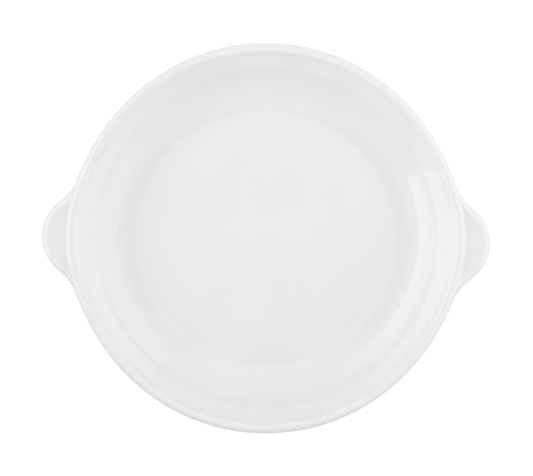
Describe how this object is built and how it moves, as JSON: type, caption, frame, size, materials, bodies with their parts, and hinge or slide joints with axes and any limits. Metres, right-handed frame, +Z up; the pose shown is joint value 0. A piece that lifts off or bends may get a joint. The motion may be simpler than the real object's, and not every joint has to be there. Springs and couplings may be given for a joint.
{
  "type": "casserole dish",
  "caption": "Open round casserole dish in white glazed stoneware, with a rolled rim, thrown rings inside, a lug handle on each side and a bare foot ring.",
  "frame": {"origin": "on the table, under the middle of the dish", "axes": "+X from the left lug to the right lug, +Y across, +Z up"},
  "size_m": [0.322, 0.28, 0.039],
  "materials": {
    "white_glaze": "smooth glossy white glaze with small specks",
    "bare_clay": "matt fired clay"
  },
  "bodies": {
    "root": {"bowl": "white_glaze", "lug_left": "white_glaze", "lug_right": "white_glaze", "foot_ring": "bare_clay"}
  },
  "joints": []
}
